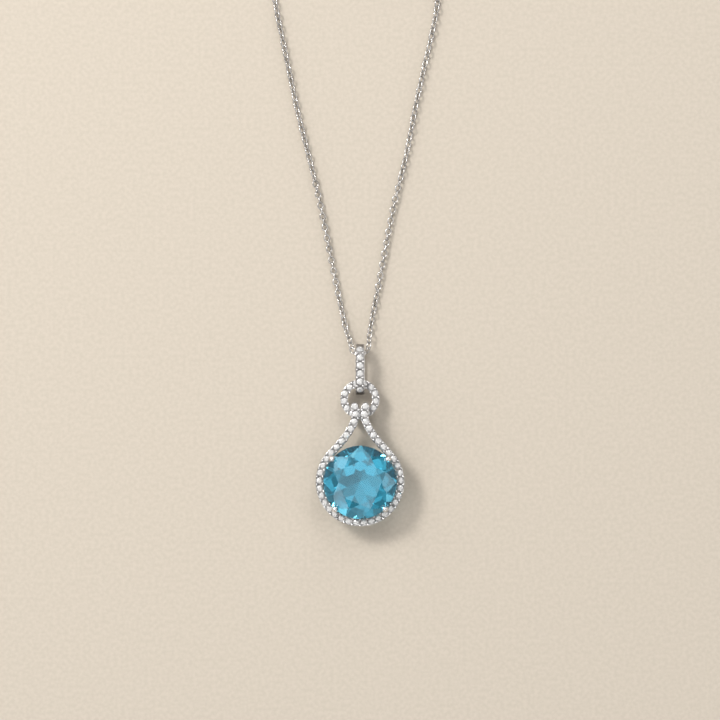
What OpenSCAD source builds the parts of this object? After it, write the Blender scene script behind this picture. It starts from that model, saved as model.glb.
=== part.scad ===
// Pendant necklace. A round stone in a four-claw basket sits in a halo of small stones.
// The halo opens into two arms that hook over a ring, the ring hangs in a long bail,
// and a fine cable chain runs through the bail. Everything lies face up on z = 0.
// Origin: middle of the bottom of the drop, the ring and the bail together. +Y is towards the chain.

/* [Centre stone] */
// Diameter of the round centre stone, mm
stone_d = 10; // [9.6:0.1:10.2]
// Table width as a share of the diameter
table_share = 0.59; // [0.54:0.01:0.64]
// Slope of the crown's main facets, degrees
crown_slope = 33; // [30:1:36]
// Slope of the pavilion's main facets, degrees
pavilion_slope = 41; // [40:0.5:42]

/* [Halo and arms] */
// Width of the halo band and of the arms, mm
band_w = 1.1; // [1.0:0.05:1.15]
// Radius of the line of stones around the centre stone, mm
halo_r = 5.55; // [5.5:0.05:5.6]
// Diameter of a small stone, mm
melee_d = 0.92; // [0.8:0.02:0.94]

/* [Ring and bail] */
// Radius of the middle line of the ring, mm
ring_r = 2.2; // [2.15:0.05:2.25]
// Number of stones around the ring
ring_count = 13; // [11:1:13]
// Width of the bail, mm
bail_w = 1.24; // [1.1:0.02:1.26]

/* [Chain] */
// Outer width of the chain's links, mm
chain_d = 0.9; // [0.8:0.05:0.95]

/* [Hidden] */

// Places along Y: centre stone, hook hinge, ring centre
stone_y = -6.4;
hook_y = 2.85;
ring_y = 4.9;
// Height of the hinge lines above the table
hinge_z = 1.75;
// Length of the bodies that cut right through a part
cut_len = 4;

// Centre stone
stone_r = stone_d / 2;
girdle_t = 0.24;
girdle_z = 4.78;
table_r = stone_r * table_share;
// Where the pavilion halves end, between the mains, as a share of the radius
lower_share = 0.5;

// Halo frame and arms
frame_z = 2.5;
frame_top = 4.0;
arm_exit = 140;
arm_pull_len = 1.6;
arm_bend = [-1.0, 6.9];
arm_neck = [-0.58, 9.0];
arm_flare_low = [-0.53, 9.45];
arm_flare_high = [-0.62, 9.9];
arm_tip = [-0.75, 10.35];
arm_lift_r = 1.14;
arm_nose_r = 2.5;
hook_x = 0.75;
hook_w = 0.6;
hook_in_r = 1.0;
hook_out_r = 1.44;
arm_steps = 10;
flare_steps = 4;
halo_pitch = 10.83;
halo_count = 24;
arm_count = 8;
arm_first = 0.52;

// Claws and rails
claw_r = 0.33;
claw_tip_r = 0.42;
claw_place_r = 4.95;
claw_foot_r = 3.05;
claw_head_low = 0.2;
claw_head_high = 0.4;
claw_cut_top = 1.42;
stone_play = 0.01;
claw_turns = [40, 140, 226.7, 313.3];
rail_t = 0.6;
back_rail_r = [2.6, 3.5];
gallery_r = [3.35, 4.15];
gallery_z = [2.0, 2.6];

// Small stones: crown height, pavilion depth, thickness of the edge and table share
melee_crown = 0.15;
melee_depth = 0.38;
melee_edge = 0.04;
melee_table = 0.6;
ring_crown = 0.1;
// A seat is a small stone's shape, this much larger, and open above
seat_gap = 0.01;
seat_open = 1;

// Ring
ring_w = 1.0;
ring_t = 1.1;
ring_top = hinge_z + ring_t / 2;
ring_bevel_low = [0.12, 0.15];
ring_bevel_top = [0.08, 0.1];

// Bail: a loop standing on edge, with a slot along Y
bail_low_y = 5.5;
bail_high_y = 12.5;
bail_end = 0.6;
slot_r = 0.975;
bail_h = 3.6;
bail_count = 6;
bail_pitch = 1.1;
bail_tilt = 38;

// Chain route, left strand and right strand, from the bail to the coil
left_route = [
    [0, 11.3, 1.72], [-0.5, 11.3, 1.72], [-0.85, 11.42, 1.7], [-1.15, 11.8, 1.65], [-1.22, 12.3, 1.5],
    [-1.6, 13.5, 1.0], [-2.05, 15, 0.55], [-3.2, 20.3, 0.5], [-4.4, 26.3, 0.5], [-5.6, 32.3, 0.5],
    [-6.8, 37.4, 0.5], [-7.65, 40.7, 0.5], [-8.8, 45.4, 0.5], [-9.8, 50.2, 0.5], [-10.9, 55.5, 0.5],
    [-11.7, 59.5, 0.5], [-12.5, 65, 0.5], [-12.3, 69.5, 0.5], [-11.8, 73.2, 0.5]
];
right_route = [
    [0, 11.3, 1.72], [0.5, 11.3, 1.72], [0.85, 11.42, 1.7], [1.15, 11.8, 1.65], [1.22, 12.3, 1.5],
    [1.3, 13.5, 1.0], [1.5, 15, 0.55], [2.5, 20.3, 0.5], [3.6, 26.3, 0.5], [4.7, 31.8, 0.5],
    [6.1, 37.4, 0.5], [6.8, 40.7, 0.5], [7.7, 45.4, 0.5], [8.8, 50.4, 0.5], [9.9, 55.2, 0.5],
    [10.7, 59.5, 0.5], [10.3, 61.2, 0.5], [8.2, 61.9, 0.5], [4, 61.5, 0.5], [0, 61.9, 0.5]
];
chain_sides = 8;
chain_ring_gap = 2.4;

// Coil of the doubled chain, and the clasp in its middle
coil_y = 73.2;
coil_in_r = 5.2;
coil_out_r = 12.3;
coil_h = 0.96;
lead_r = 0.45;
lead_from = [-5.4, 2.9];
lead_to = [-4.9, 5.4];
clasp_x = -0.3;
clasp_r = 2.2;
tube_r = 0.6;
bore_r = 0.42;
bolt_r = 0.37;
clasp_z = 1.05;
mouth_from = 45;
mouth_to = 90;
bolt_tip = 39;
bolt_tail = 165;
bolt_travel = 50;
lug_at = 103;
lug_half = 5;
lug_reach = 1.15;
lug_thick = 0.32;
slot_play = 2;
slot_w = 0.44;
stop_from = 266;
stop_span = 9;
catch_span = 8;
spring_wire = 0.06;
spring_r = 0.3;
spring_coils = 8;

// Wire rings: radius of the middle line, wire radius and place along X
eye_r = 0.55;
eye_wire = 0.15;
eye_x = clasp_x - clasp_r - tube_r - 0.54;
jump_r = 0.58;
jump_wire = 0.14;
jump_x = eye_x - 0.64;
end_r = 1.0;
end_wire = 0.2;
end_x = 2.0;

// ---------- Helpers ----------

// A small round stone with its edge at z = 0, pushed out by a gap for its seat
module melee(gap = 0, above = melee_crown) {
    r = melee_d / 2 + gap;
    rotate_extrude($fn = 24)
        polygon([
            [0, -melee_depth - gap], [r, -melee_edge], [r, gap > 0 ? above : 0],
            [gap > 0 ? r : r * melee_table, above], [0, above]
        ]);
}

// One coordinate of a cubic Bezier curve, for t from 0 to 1
function bez(a, b, c, d, t) =
    pow(1 - t, 3) * a + 3 * t * pow(1 - t, 2) * b + 3 * t * t * (1 - t) * c + pow(t, 3) * d;

// The left arm's middle line: one curve from the halo to the neck, and one from there to the tip
arm_start = [halo_r * cos(arm_exit), halo_r * sin(arm_exit)];
arm_pull = arm_start + arm_pull_len * [sin(arm_exit), -cos(arm_exit)];
function arm_low(t) = [
    bez(arm_start[0], arm_pull[0], arm_bend[0], arm_neck[0], t),
    bez(arm_start[1], arm_pull[1], arm_bend[1], arm_neck[1], t)
];
function arm_high(t) = [
    bez(arm_neck[0], arm_flare_low[0], arm_flare_high[0], arm_tip[0], t),
    bez(arm_neck[1], arm_flare_low[1], arm_flare_high[1], arm_tip[1], t)
];
arm_line = concat(
    [for (i = [0 : arm_steps]) arm_low(i / arm_steps)],
    [for (i = [1 : flare_steps]) arm_high(i / flare_steps)]
);

// Unit vector across a line of points at point i
function across(line, i) =
    let (
        a = line[max(i - 1, 0)],
        b = line[min(i + 1, len(line) - 1)],
        d = b - a
    )
    [-d[1], d[0]] / norm(d);

// Length along a line up to point i, and the point that lies a given length along it
function run(line, i) = i == 0 ? 0 : run(line, i - 1) + norm(line[i] - line[i - 1]);
function at(line, s, i = 1) =
    let (step = norm(line[i] - line[i - 1]))
    (s <= step || i == len(line) - 1)
        ? line[i - 1] + (line[i] - line[i - 1]) * s / step
        : at(line, s - step, i + 1);

// Places of the stones: around the halo, along the arms, around the ring and up the bail
halo_places = [
    for (i = [0 : halo_count - 1])
        let (a = 270 + (i - (halo_count - 1) / 2) * halo_pitch)
        [halo_r * cos(a), halo_r * sin(a)]
];
arm_pitch = (run(arm_line, len(arm_line) - 1) - arm_first) / (arm_count - 1);
arm_places = [for (i = [0 : arm_count - 1]) at(arm_line, arm_first + i * arm_pitch)];

// ---------- The drop ----------

// Corners of the facets, in rings: count corners, turned by an angle, at one radius and height
function corners(count, turn, r, z) = [
    for (k = [0 : count - 1])
        let (a = turn + 360 * k / count)
        [r * cos(a), r * sin(a), z]
];

module centre_stone() {
    mid = cos(22.5);
    edge = 1 - cos(11.25);
    crown_h = (stone_r - table_r) * tan(crown_slope);
    star_r = (table_r * mid + stone_r) / 2;
    star_z = (stone_r - star_r * mid) * tan(crown_slope);
    low_r = lower_share * stone_r;
    low_z = (stone_r - low_r * mid) * tan(pavilion_slope);
    scallop_up = stone_r * edge * star_z / ((stone_r - star_r) * cos(11.25));
    scallop_down = stone_r * edge * low_z / ((stone_r - low_r) * cos(11.25));
    points = concat(
        corners(8, 0, table_r, girdle_t + crown_h),
        corners(8, 22.5, star_r, girdle_t + star_z),
        corners(16, 0, stone_r, girdle_t),
        corners(16, 11.25, stone_r, girdle_t - scallop_up),
        corners(16, 0, stone_r, 0),
        corners(16, 11.25, stone_r, scallop_down),
        corners(8, 22.5, low_r, -low_z),
        [[0, 0, -stone_r * tan(pavilion_slope)]]
    );
    color("deepskyblue")
    translate([0, stone_y, girdle_z])
        hull()
            polyhedron(points = points, faces = [for (i = [1 : len(points) - 2]) [0, i, i + 1]]);
}

// The halo band, the two arms and the hook loops are one casting
module arm_outline(side) {
    half = band_w / 2;
    left = [for (i = [0 : len(arm_line) - 1]) arm_line[i] + half * across(arm_line, i)];
    right = [for (i = [len(arm_line) - 1 : -1 : 0]) arm_line[i] - half * across(arm_line, i)];
    mirror([side, 0, 0]) {
        polygon(concat(left, right));
        translate(arm_tip) circle(r = half, $fn = 24);
    }
}

module stone_seats(places, top) {
    for (p = places)
        translate([p[0], p[1], top])
            melee(seat_gap, seat_open);
}

// A round bar along the drop's hinge line
module hinge_rod(r, w) {
    translate([-w / 2, hook_y, hinge_z])
        rotate([0, 90, 0])
            cylinder(r = r, h = w, $fn = 48);
}

module drop_frame() {
    height = frame_top - frame_z;
    color("gainsboro")
    difference() {
        union() {
            translate([0, stone_y, frame_z])
                rotate([0, 0, arm_exit])
                    rotate_extrude(angle = 540 - 2 * arm_exit, $fn = 96)
                        translate([halo_r - band_w / 2, 0])
                            square([band_w, height]);
            difference() {
                translate([0, stone_y, frame_z])
                    linear_extrude(height) {
                        arm_outline(0);
                        arm_outline(1);
                    }
                hinge_rod(arm_lift_r, cut_len);
                difference() {
                    translate([-cut_len / 2, hook_y, hinge_z])
                        cube(cut_len);
                    hinge_rod(arm_nose_r, 2 * cut_len);
                }
            }
            for (side = [-1, 1])
                translate([side * hook_x, 0, 0])
                    difference() {
                        hinge_rod(hook_out_r, hook_w);
                        hinge_rod(hook_in_r, 2 * hook_w);
                    }
        }
        translate([0, stone_y, 0]) {
            stone_seats(halo_places, frame_top);
            stone_seats(arm_places, frame_top);
            mirror([1, 0, 0]) stone_seats(arm_places, frame_top);
        }
    }
}

module halo_stones() {
    color("white")
    translate([0, stone_y, frame_top])
        for (p = halo_places)
            translate([p[0], p[1], 0])
                melee();
}

module arm_stones() {
    color("white")
    translate([0, stone_y, frame_top])
        for (side = [0, 1])
            mirror([side, 0, 0])
                for (p = arm_places)
                    translate([p[0], p[1], 0])
                        melee();
}

// Four claw wires rise from the base rail, pass the gallery rail and end over the girdle
module claw_prongs() {
    rise = girdle_z - rail_t;
    lean = atan((claw_place_r - claw_foot_r) / rise);
    color("silver")
    translate([0, stone_y, 0])
    difference() {
        for (turn = claw_turns)
            rotate([0, 0, turn]) {
                translate([claw_foot_r, 0, rail_t])
                    rotate([0, lean, 0])
                        cylinder(r = claw_r, h = rise / cos(lean), $fn = 24);
                translate([claw_place_r, 0, girdle_z - claw_head_low])
                    cylinder(r = claw_tip_r, h = claw_head_low + claw_head_high, $fn = 24);
                for (z = [girdle_z - claw_head_low, girdle_z + claw_head_high])
                    translate([claw_place_r, 0, z])
                        sphere(r = claw_tip_r, $fn = 24);
            }
        cylinder(r = stone_d, h = rail_t, $fn = 24);
        translate([0, 0, girdle_z])
            rotate_extrude($fn = 64)
                polygon([
                    [0, -stone_r * tan(pavilion_slope) - 2 * stone_play],
                    [stone_r + stone_play, -stone_play],
                    [stone_r + stone_play, girdle_t + 3 * stone_play],
                    [table_r, claw_cut_top], [0, claw_cut_top]
                ]);
    }
}

// A flat ring about the stone's axis, from radii [inner, outer] and heights [low, high]
module rail(r, z) {
    translate([0, stone_y, z[0]])
        rotate_extrude($fn = 64)
            translate([r[0], 0])
                square([r[1] - r[0], z[1] - z[0]]);
}

module upper_rail() {
    color("silver") rail(gallery_r, gallery_z);
}

module base_rail() {
    color("silver") rail(back_rail_r, [0, rail_t]);
}

// ---------- The ring ----------

// Puts a shape at each place around the ring's front face
module ring_row() {
    for (k = [0 : ring_count - 1])
        translate([0, ring_y, ring_top])
            rotate([0, 0, 90 + 360 * (k + 0.5) / ring_count])
                translate([ring_r, 0, 0])
                    children();
}

module ring_band() {
    low = ring_bevel_low;
    top = ring_bevel_top;
    color("gainsboro")
    difference() {
        translate([0, ring_y, hinge_z - ring_t / 2])
            rotate_extrude($fn = 72)
                translate([ring_r - ring_w / 2, 0])
                    polygon([
                        [low[0], 0], [ring_w - low[0], 0], [ring_w, low[1]], [ring_w, ring_t - top[1]],
                        [ring_w - top[0], ring_t], [top[0], ring_t], [0, ring_t - top[1]], [0, low[1]]
                    ]);
        ring_row() melee(seat_gap, seat_open);
    }
}

module ring_stones() {
    color("white") ring_row() melee(0, ring_crown);
}

// ---------- The bail ----------

// A racetrack-shaped block across X, between two ends along Y, with one radius and middle height
module racetrack(low_y, high_y, r, z) {
    rotate([0, 90, 0])
        translate([0, 0, -cut_len / 2]) {
            for (y = [low_y + r, high_y - r])
                translate([-z, y, 0])
                    cylinder(r = r, h = cut_len, $fn = 64);
            translate([-z - r, low_y + r, 0])
                cube([2 * r, high_y - low_y - 2 * r, cut_len]);
        }
}

module bail_loop() {
    color("gainsboro")
    difference() {
        intersection() {
            translate([-bail_w / 2, bail_low_y, 0])
                cube([bail_w, bail_high_y - bail_low_y, bail_h]);
            racetrack(bail_low_y, bail_high_y, bail_h / 2, bail_h / 2);
        }
        racetrack(bail_low_y + bail_end, bail_high_y - bail_end, slot_r, hinge_z);
        bail_row() melee(seat_gap, seat_open);
    }
}

// Stones up the front bar; the first and last ones tilt around the bar's rounded ends
module bail_row() {
    half_h = bail_h / 2;
    mid_y = (bail_low_y + bail_high_y) / 2;
    for (k = [0 : bail_count - 1]) {
        y = mid_y + (k - (bail_count - 1) / 2) * bail_pitch;
        tilt = k == 0 ? bail_tilt : (k == bail_count - 1 ? -bail_tilt : 0);
        end_y = k == 0 ? bail_low_y + half_h : bail_high_y - half_h;
        if (tilt == 0)
            translate([0, y, bail_h])
                children();
        else
            translate([0, end_y, half_h])
                rotate([tilt, 0, 0])
                    translate([0, 0, half_h])
                        children();
    }
}

module bail_stones() {
    color("white") bail_row() melee();
}

// ---------- The chain ----------

// A tube swept along a route, with a ring of points every few millimetres
function spread(route) = concat(
    [route[0]],
    [
        for (i = [1 : len(route) - 1])
            let (parts = max(1, floor(norm(route[i] - route[i - 1]) / chain_ring_gap)))
            for (k = [1 : parts])
                route[i - 1] + (route[i] - route[i - 1]) * k / parts
    ]
);
function tube_ring(line, i) =
    let (
        a = line[max(i - 1, 0)],
        b = line[min(i + 1, len(line) - 1)],
        along = (b - a) / norm(b - a),
        flat = cross([0, 0, 1], along) / norm(cross([0, 0, 1], along)),
        up = cross(along, flat)
    )
    [
        for (k = [0 : chain_sides - 1])
            let (q = 360 * (k + 0.5) / chain_sides)
            line[i] + chain_d / 2 * (cos(q) * flat + sin(q) * up)
    ];
module swept(route) {
    line = spread(route);
    n = len(line);
    m = chain_sides;
    pts = [for (i = [0 : n - 1]) each tube_ring(line, i)];
    sides = [
        for (i = [0 : n - 2])
            for (k = [0 : m - 1])
                [i * m + k, (i + 1) * m + k, (i + 1) * m + (k + 1) % m, i * m + (k + 1) % m]
    ];
    first = [for (k = [0 : m - 1]) k];
    last = [for (k = [m - 1 : -1 : 0]) (n - 1) * m + k];
    polyhedron(points = pts, faces = concat(sides, [first], [last]), convexity = 6);
}

module chain_left_run() {
    color("lightgray") swept(left_route);
}

module chain_right_run() {
    color("lightgray") swept(right_route);
}

// The coiled rest of both strands, with their two short ends that lead in to the clasp
module chain_coil() {
    color("lightgray")
    translate([0, coil_y, 0]) {
        rotate_extrude($fn = 96)
            translate([coil_in_r, 0])
                square([coil_out_r - coil_in_r, coil_h]);
        for (k = [0, 1])
            translate([lead_from[k], 0, coil_h / 2])
                rotate([0, 90, 0])
                    cylinder(r = lead_r, h = lead_to[k] - lead_from[k], $fn = 24);
    }
}

// ---------- The clasp ----------

// A part of a round-section ring about the clasp's centre, from one angle to another
module arc_rod(r, from, to) {
    translate([clasp_x, coil_y, clasp_z])
        rotate([0, 0, from])
            rotate_extrude(angle = to - from, $fn = 96)
                translate([clasp_r, 0])
                    circle(r = r, $fn = 32);
}

// A block between two angles that reaches outwards from the ring's middle line
module arc_block(from, to, reach, thick) {
    translate([clasp_x, coil_y, clasp_z - thick / 2])
        rotate([0, 0, from])
            rotate_extrude(angle = to - from, $fn = 96)
                translate([clasp_r, 0])
                    square([reach, thick]);
}

module clasp_tube() {
    slot_from = lug_at - lug_half - slot_play;
    slot_to = lug_at + bolt_travel + lug_half + slot_play;
    color("silver")
    difference() {
        arc_rod(tube_r, mouth_to, mouth_from + 360);
        arc_rod(bore_r, mouth_to - slot_play, stop_from + stop_span);
        arc_rod(bore_r, mouth_from + 360 - catch_span, mouth_from + 360 + slot_play);
        arc_block(slot_from, slot_to, 1, slot_w);
    }
}

module clasp_bolt() {
    color("darkgray") {
        arc_rod(bolt_r, bolt_tip, bolt_tail);
        arc_block(lug_at - lug_half, lug_at + lug_half, lug_reach, lug_thick);
    }
}

// The spring, drawn as its coils lie with the bolt drawn back
module clasp_spring() {
    first = bolt_tail + bolt_travel + 3;
    last = stop_from - 1;
    step = (last - first) / spring_coils;
    color("gray")
    for (k = [0 : spring_coils - 1])
        translate([clasp_x, coil_y, clasp_z])
            rotate([0, 0, first + step * (k + 0.5)])
                translate([clasp_r, 0, 0])
                    rotate([90, 0, 0])
                        rotate_extrude($fn = 24)
                            translate([spring_r, 0])
                                circle(r = spring_wire, $fn = 16);
}

module clasp_stop() {
    color("gray") arc_rod(bore_r, stop_from, stop_from + stop_span);
}

// A closed wire ring on the clasp's line; stand is 90 for a ring that stands on edge
module wire_ring(x, z, r, wire, stand) {
    translate([x, coil_y, z])
        rotate([stand, 0, 0])
            rotate_extrude($fn = 48)
                translate([r, 0])
                    circle(r = wire, $fn = 24);
}

module clasp_eye() {
    color("silver") wire_ring(eye_x, clasp_z, eye_r, eye_wire, 0);
}

module clasp_jump_ring() {
    color("silver") wire_ring(jump_x, clasp_z - 0.1, jump_r, jump_wire, 90);
}

module end_ring() {
    color("silver") wire_ring(end_x, end_r + end_wire, end_r, end_wire, 90);
}

centre_stone();
claw_prongs();
upper_rail();
base_rail();
drop_frame();
halo_stones();
arm_stones();
ring_band();
ring_stones();
bail_loop();
bail_stones();
chain_left_run();
chain_right_run();
chain_coil();
clasp_tube();
clasp_bolt();
clasp_spring();
clasp_stop();
clasp_eye();
clasp_jump_ring();
end_ring();
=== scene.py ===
# %% [markdown]
# # A pendant necklace, finished for the eye
# The design gives the real sizes: a round blue stone in a four-claw basket, a halo of small
# stones whose two arms hook over a ring, a long bail, and a fine cable chain with its clasp.
# Here every visible surface gets the form and the finish that a jeweller's bench gives it.
# The first cell loads the design as a fixed frame, and everything else is placed on it.

# %% Load the frame
import math

import bpy
import numpy as np
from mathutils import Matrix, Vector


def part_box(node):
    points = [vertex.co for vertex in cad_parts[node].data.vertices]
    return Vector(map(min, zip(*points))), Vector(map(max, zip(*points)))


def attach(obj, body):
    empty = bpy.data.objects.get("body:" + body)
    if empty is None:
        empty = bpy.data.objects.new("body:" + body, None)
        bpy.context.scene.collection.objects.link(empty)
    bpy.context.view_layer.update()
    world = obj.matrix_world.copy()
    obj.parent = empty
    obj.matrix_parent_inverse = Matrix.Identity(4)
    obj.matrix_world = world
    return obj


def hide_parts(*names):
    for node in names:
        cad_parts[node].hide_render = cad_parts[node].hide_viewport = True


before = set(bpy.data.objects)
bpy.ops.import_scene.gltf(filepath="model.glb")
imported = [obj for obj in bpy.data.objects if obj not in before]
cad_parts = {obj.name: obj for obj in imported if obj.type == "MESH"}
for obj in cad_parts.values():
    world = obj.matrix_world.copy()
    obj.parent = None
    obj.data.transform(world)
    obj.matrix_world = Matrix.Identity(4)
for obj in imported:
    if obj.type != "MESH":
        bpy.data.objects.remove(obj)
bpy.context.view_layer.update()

MM = 0.001

# %% [markdown]
# ## The camera
# A necklace is usually photographed laid flat and seen from straight above. A long lens keeps
# the round stone round. The picture is about 99 mm wide, and it cuts the chain off at its top.

# %% Set the camera
VIEW_W = 98.6
LENS = 110.0
SENSOR = 36.0
VIEW_Y = 10.3
FOCUS_Z = 4.0

camera_data = bpy.data.cameras.new("top_camera")
camera_data.lens = LENS
camera_data.sensor_width = SENSOR
camera_data.clip_start = 0.01
camera_data.clip_end = 20.0
camera = bpy.data.objects.new("top_camera", camera_data)
bpy.context.scene.collection.objects.link(camera)
camera.location = (0, VIEW_Y * MM, (VIEW_W * LENS / SENSOR + FOCUS_Z) * MM)
bpy.context.scene.camera = camera
print("camera height in mm:", round(camera.location.z / MM, 1))

# %% [markdown]
# ## Helpers for surfaces
# Every new piece is a surface worked out with numpy, in millimetres. A grid of corners becomes
# quads, a small shape can be stamped many times, and a tube or a band is a profile carried
# along a path. Each helper works on whole arrays.

# %% Mesh helpers
def grid_quads(rows, cols, close_rows=False):
    """Quads between neighbouring corners of a rows x cols grid that is closed across its columns."""
    r, c = np.meshgrid(np.arange(rows if close_rows else rows - 1), np.arange(cols), indexing="ij")
    down, right = (r + 1) % rows, (c + 1) % cols
    quads = np.stack([r * cols + c, down * cols + c, down * cols + right, r * cols + right], -1)
    return quads.reshape(-1, 4)


def enclosed(verts, faces):
    """Six times the signed volume: the sum of triple products over each face's fan of triangles."""
    total = 0.0
    for f in faces:
        for k in range(1, f.shape[1] - 1):
            a, b, c = verts[f[:, 0]], verts[f[:, k]], verts[f[:, k + 1]]
            total += float(np.einsum("ij,ij->i", a, np.cross(b, c)).sum())
    return total


def put_mesh(name, verts, faces, material, smooth=True):
    """An object from corners in millimetres and arrays of faces; an inside-out shape is turned round."""
    if enclosed(verts, faces) < 0:
        faces = [f[:, ::-1] for f in faces]
    mesh = bpy.data.meshes.new(name)
    mesh.from_pydata((verts * MM).tolist(), [], [row for f in faces for row in f.tolist()])
    mesh.polygons.foreach_set("use_smooth", np.full(len(mesh.polygons), smooth))
    mesh.materials.append(material)
    mesh.update()
    piece = bpy.data.objects.new(name, mesh)
    bpy.context.scene.collection.objects.link(piece)
    return piece


def join_parts(parts):
    """Several (corners, faces) shapes as one: each shape's faces are numbered on from the last one's."""
    shift, verts, faces = 0, [], []
    for v, f in parts:
        verts.append(v)
        faces += [one + shift for one in f]
        shift += len(v)
    return np.concatenate(verts), faces


def stamp(shape, places, turns):
    """Copies of a shape: copy n is turned by the 3x3 frame turns[n] and moved to places[n]."""
    verts, faces = shape
    copies = np.einsum("nij,vj->nvi", turns, verts) + places[:, None, :]
    shift = (np.arange(len(places)) * len(verts))[:, None, None]
    return copies.reshape(-1, 3), [(f[None] + shift).reshape(-1, f.shape[1]) for f in faces]


def unit(v):
    """Each row divided by its length."""
    return v / np.linalg.norm(v, axis=-1, keepdims=True)


def run_of(points):
    """Distance along a line of points, from its first point to each one."""
    return np.concatenate([[0.0], np.cumsum(np.linalg.norm(np.diff(points, axis=0), axis=1))])


def along(points, s):
    """The points that lie the distances s along a line of points."""
    here = run_of(points)
    return np.stack([np.interp(s, here, points[:, k]) for k in range(points.shape[1])], -1)


def smooth_path(points, per_span=24):
    """A Catmull-Rom curve: cubic spans, whose slope at a point is half the step between its neighbours."""
    p = np.array(points, float)
    p = np.concatenate([2 * p[:1] - p[1:2], p, 2 * p[-1:] - p[-2:-1]])
    t = (np.arange(per_span) / per_span)[None, :, None]
    a, b, c, d = p[:-3, None], p[1:-2, None], p[2:-1, None], p[3:, None]
    curve = b + 0.5 * t * (c - a + t * (2 * a - 5 * b + 4 * c - d + t * (3 * (b - c) + d - a)))
    return np.concatenate([curve.reshape(-1, p.shape[1]), p[-2:-1]])


def ring_profile(count, half_a, half_b, power=1.0):
    """A closed oval: angle q gives (half_a cos q, half_b sin q).

    The cosine and the sine are raised to a power first, and a power under one squares the oval up."""
    q = 2 * np.pi * np.arange(count) / count
    c, s = np.cos(q), np.sin(q)
    a = half_a * np.sign(c) * np.abs(c) ** power
    b = half_b * np.sign(s) * np.abs(s) ** power
    return np.stack([a, b], -1)


def swept(path, side, profile, size=None, closed=False):
    """A profile carried along a path.

    Corner (i, j) is path[i] + size[i] (profile[j, 0] side[i] + profile[j, 1] up[i])."""
    step = np.roll(path, -1, 0) - np.roll(path, 1, 0) if closed else np.gradient(path, axis=0)
    forward = unit(step)
    up = unit(np.cross(forward, side))
    side = np.cross(up, forward)
    size = np.ones(len(path)) if size is None else size
    flat = profile[None, :, :1] * side[:, None] + profile[None, :, 1:] * up[:, None]
    verts = path[:, None] + size[:, None, None] * flat
    rows, cols = len(path), len(profile)
    faces = [grid_quads(rows, cols, closed)]
    if not closed:
        ends = np.arange(cols)
        faces.append(np.stack([ends[::-1], ends + (rows - 1) * cols]))
    return verts.reshape(-1, 3), faces

# %% [markdown]
# ## Metal finishes
# White jewellery metal is plated with rhodium and polished on a buff. It is nearly a mirror, but
# fine buffing lines, a soft haze from wear and slight changes of tone break the reflection up.
# The drilled seats are coloured dark as painted shade, for the shadow and dark reflections between the
# stones, and left dull, which sets the stones off.
# The patterns read Object coordinates in metres, so a scale of 1500 is a mark every 0.7 mm.

# %% Metal materials
def new_material(name):
    """An empty node material: its tree and its Principled shader."""
    material = bpy.data.materials.new(name)
    material.use_nodes = True
    return material, material.node_tree, material.node_tree.nodes["Principled BSDF"]


def noise(tree, scale, detail=3.0, stretch=(1, 1, 1)):
    """A noise pattern on Object coordinates; stretch scales the three axes apart for lines."""
    coords = tree.nodes.new("ShaderNodeTexCoord")
    mapping = tree.nodes.new("ShaderNodeMapping")
    mapping.inputs["Scale"].default_value = stretch
    pattern = tree.nodes.new("ShaderNodeTexNoise")
    pattern.inputs["Scale"].default_value = scale
    pattern.inputs["Detail"].default_value = detail
    tree.links.new(coords.outputs["Object"], mapping.inputs["Vector"])
    tree.links.new(mapping.outputs["Vector"], pattern.inputs["Vector"])
    return pattern.outputs["Fac"]


def ramp(tree, source, low, high, start=0.35, end=0.65):
    """Colour low where source is under start and high where it is over end, with a blend between."""
    node = tree.nodes.new("ShaderNodeValToRGB")
    node.color_ramp.elements[0].position, node.color_ramp.elements[1].position = start, end
    node.color_ramp.elements[0].color, node.color_ramp.elements[1].color = (*low, 1), (*high, 1)
    tree.links.new(source, node.inputs["Fac"])
    return node.outputs["Color"]


def spread(tree, source, low, high):
    """A number from low to high as source goes from 0.3 to 0.7."""
    node = tree.nodes.new("ShaderNodeMapRange")
    node.inputs["From Min"].default_value, node.inputs["From Max"].default_value = 0.3, 0.7
    node.inputs["To Min"].default_value, node.inputs["To Max"].default_value = low, high
    tree.links.new(source, node.inputs["Value"])
    return node.outputs["Result"]


TONE_SCALE, HAZE_SCALE = 900, 1700
BUFF_STRETCH = (1, 0.12, 1)
BUFF_STRENGTH = 0.35


def metal(name, dull, bright, rough_low, rough_high, line_scale, dent):
    """A polished metal: tone and haze drift over a millimetre or so, and fine buffing lines dent it."""
    material, tree, shader = new_material(name)
    shader.inputs["Metallic"].default_value = 1.0
    tree.links.new(ramp(tree, noise(tree, TONE_SCALE), dull, bright), shader.inputs["Base Color"])
    haze = spread(tree, noise(tree, HAZE_SCALE, 5.0), rough_low, rough_high)
    tree.links.new(haze, shader.inputs["Roughness"])
    bump = tree.nodes.new("ShaderNodeBump")
    bump.inputs["Strength"].default_value = BUFF_STRENGTH
    bump.inputs["Distance"].default_value = dent
    tree.links.new(noise(tree, line_scale, 4.0, BUFF_STRETCH), bump.inputs["Height"])
    tree.links.new(bump.outputs["Normal"], shader.inputs["Normal"])
    return material


rhodium = metal("polished_rhodium", (0.58, 0.58, 0.59), (0.80, 0.80, 0.81), 0.07, 0.20, 5200, 4e-6)
chain_silver = metal("chain_silver", (0.40, 0.39, 0.385), (0.60, 0.59, 0.585), 0.16, 0.30, 7000, 3e-6)
basket_metal = metal("basket_metal", (0.62, 0.62, 0.64), (0.82, 0.82, 0.84), 0.16, 0.32, 4200, 5e-6)
# Painted shade: the dark colour of the drilled seats stands in for the shadow that falls between the stones.
seat_shade_metal = metal("seat_painted_shade", (0.13, 0.125, 0.125), (0.30, 0.29, 0.29), 0.26, 0.44, 3600, 8e-6)
spring_wire = metal("drawn_wire", (0.42, 0.42, 0.44), (0.60, 0.60, 0.62), 0.22, 0.38, 9000, 2e-6)
print("metals:", rhodium.name, seat_shade_metal.name, chain_silver.name, basket_metal.name, spring_wire.name)

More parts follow.
